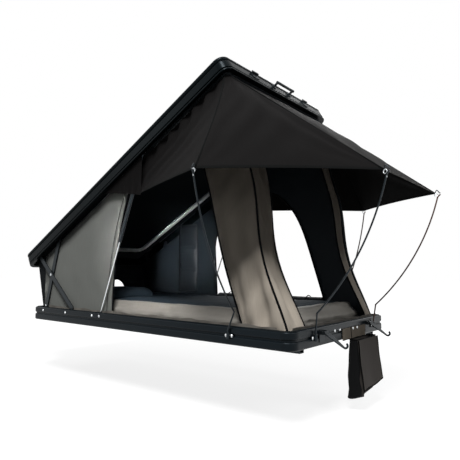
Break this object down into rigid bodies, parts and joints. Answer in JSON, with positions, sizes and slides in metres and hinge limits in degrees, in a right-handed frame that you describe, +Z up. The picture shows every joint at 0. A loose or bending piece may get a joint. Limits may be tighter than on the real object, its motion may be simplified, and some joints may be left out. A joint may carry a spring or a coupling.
{
  "type": "hard-shell roof top tent",
  "caption": "Wedge-opening hard-shell roof top tent with scissor arms, gas struts, canvas walls, rear canopy on spring rods and a hanging shoe bag.",
  "frame": {"origin": "centre of the rack rails' footprint, on their underside", "axes": "+X to the rear opening end, +Y to the far side, +Z up"},
  "size_m": [2.675, 1.9422, 1.8249],
  "materials": {
    "rail": "satin powder coat",
    "casting": "satin powder coat",
    "panel": "matte",
    "rubber": "matte",
    "taupe_canvas": "woven",
    "grey_canvas": "woven",
    "slate_fabric": "woven",
    "charcoal_canvas": "woven",
    "bag_fabric": "woven",
    "bright_metal": "satin",
    "rod": "satin",
    "trim": "matte",
    "black_steel": "satin"
  },
  "bodies": {
    "base": {"base_side_rail_near": "rail", "base_side_rail_far": "rail", "base_front_rail": "rail", "base_rear_rail": "rail", "base_corner_castings": "casting", "base_floor_panel": "panel", "rack_rails": "black_steel", "base_seal": "rubber", "mattress": "taupe_canvas", "pillow": "slate_fabric", "scissor_base_brackets": "black_steel", "scissor_foot_ledges": "black_steel", "strut_base_brackets": "black_steel", "latch_plates": "black_steel", "rod_sockets": "black_steel", "shoe_bag_flap": "taupe_canvas", "wall_near_front": "grey_canvas", "wall_near_rear": "taupe_canvas", "wall_far": "grey_canvas", "wall_front": "charcoal_canvas", "wall_rear_near": "taupe_canvas", "wall_rear_far": "taupe_canvas", "far_door_roll": "charcoal_canvas", "organiser": "slate_fabric"},
    "arms_inner": {"inner_arm_near": "black_steel", "inner_arm_far": "black_steel"},
    "arms_outer": {"outer_arm_near": "black_steel", "outer_arm_far": "black_steel", "scissor_cross_pins": "bright_metal"},
    "lid": {"lid_side_rail_near": "rail", "lid_side_rail_far": "rail", "lid_front_rail": "rail", "lid_rear_rail": "rail", "lid_corner_castings": "casting", "lid_roof_panel": "panel", "lid_liner": "panel", "lid_hoop": "bright_metal", "lid_handle": "trim", "latch_keepers": "black_steel", "lid_scissor_brackets": "black_steel", "lid_slide_channels": "black_steel", "lid_strut_studs": "black_steel", "canopy_battens": "trim", "canopy_rear": "charcoal_canvas", "canopy_gusset_near": "charcoal_canvas", "canopy_gusset_far": "charcoal_canvas", "canopy_side_near": "charcoal_canvas", "canopy_side_far": "charcoal_canvas"},
    "strut_rods": {"strut_rod_near": "bright_metal", "strut_rod_far": "bright_metal"},
    "strut_cylinders": {"strut_cylinder_near": "black_steel", "strut_cylinder_far": "black_steel"},
    "latch_near": {"latch_lever_near": "black_steel"},
    "latch_far": {"latch_lever_far": "black_steel"},
    "bag": {"shoe_bag": "bag_fabric"},
    "rod_side_near": {"awning_rod_side_near": "rod"},
    "rod_side_far": {"awning_rod_side_far": "rod"},
    "rod_rear_near": {"awning_rod_rear_near": "rod"},
    "rod_rear_far": {"awning_rod_rear_far": "rod"}
  },
  "joints": [
    {"name": "inner_arm_fold", "type": "hinge", "parent": "base", "child": "arms_inner", "pos_m": [-0.962, 0, 0.12], "axis": [0, 1, 0], "range_deg": [0, 72.5]},
    {"name": "outer_arm_fold", "type": "hinge", "parent": "lid", "child": "arms_outer", "pos_m": [-1.05515, 0, 0.47613], "axis": [0, 1, 0], "range_deg": [-68.6, 0]},
    {"name": "lid_close", "type": "hinge", "parent": "base", "child": "lid", "pos_m": [-1.66226, 0, 0.07335], "axis": [0, 1, 0], "range_deg": [0, 29], "deforming": ["pillow", "wall_near_front", "wall_near_rear", "wall_far", "wall_front", "wall_rear_near", "wall_rear_far", "far_door_roll", "organiser", "canopy_rear", "canopy_gusset_near", "canopy_gusset_far", "canopy_side_near", "canopy_side_far"]},
    {"name": "strut_fold", "type": "hinge", "parent": "base", "child": "strut_rods", "pos_m": [-0.331, 0, 0.096], "axis": [0, 1, 0], "range_deg": [0, 65.9]},
    {"name": "strut_slide", "type": "slide", "parent": "strut_rods", "child": "strut_cylinders", "axis": [0.357, 0, 0.9341], "range_m": [-0.4065, 0]},
    {"name": "latch_near_swing", "type": "hinge", "parent": "base", "child": "latch_near", "pos_m": [1.099, -0.29, 0.086], "axis": [0, -1, 0], "range_deg": [0, 120]},
    {"name": "latch_far_swing", "type": "hinge", "parent": "base", "child": "latch_far", "pos_m": [1.099, 0.29, 0.086], "axis": [0, -1, 0], "range_deg": [0, 120]},
    {"name": "bag_swing", "type": "hinge", "parent": "base", "child": "bag", "pos_m": [1.081, 0.16, 0.018], "axis": [0, -1, 0], "range_deg": [0, 40]},
    {"name": "rod_side_near_lift", "type": "slide", "parent": "base", "child": "rod_side_near", "axis": [0, 0, 1], "range_m": [0, 0.04]},
    {"name": "rod_side_far_lift", "type": "slide", "parent": "base", "child": "rod_side_far", "axis": [0, 0, 1], "range_m": [0, 0.04]},
    {"name": "rod_rear_near_lift", "type": "slide", "parent": "base", "child": "rod_rear_near", "axis": [0, 0, 1], "range_m": [0, 0.04]},
    {"name": "rod_rear_far_lift", "type": "slide", "parent": "base", "child": "rod_rear_far", "axis": [0, 0, 1], "range_m": [0, 0.04]}
  ],
  "couplings": [
    {"joint": "inner_arm_fold", "follows": "lid_close", "ratio": 2.4884},
    {"joint": "outer_arm_fold", "follows": "lid_close", "ratio": -2.3518},
    {"joint": "strut_fold", "follows": "lid_close", "ratio": 2.2649},
    {"joint": "strut_slide", "follows": "lid_close", "m_per_rad": -0.80132}
  ]
}
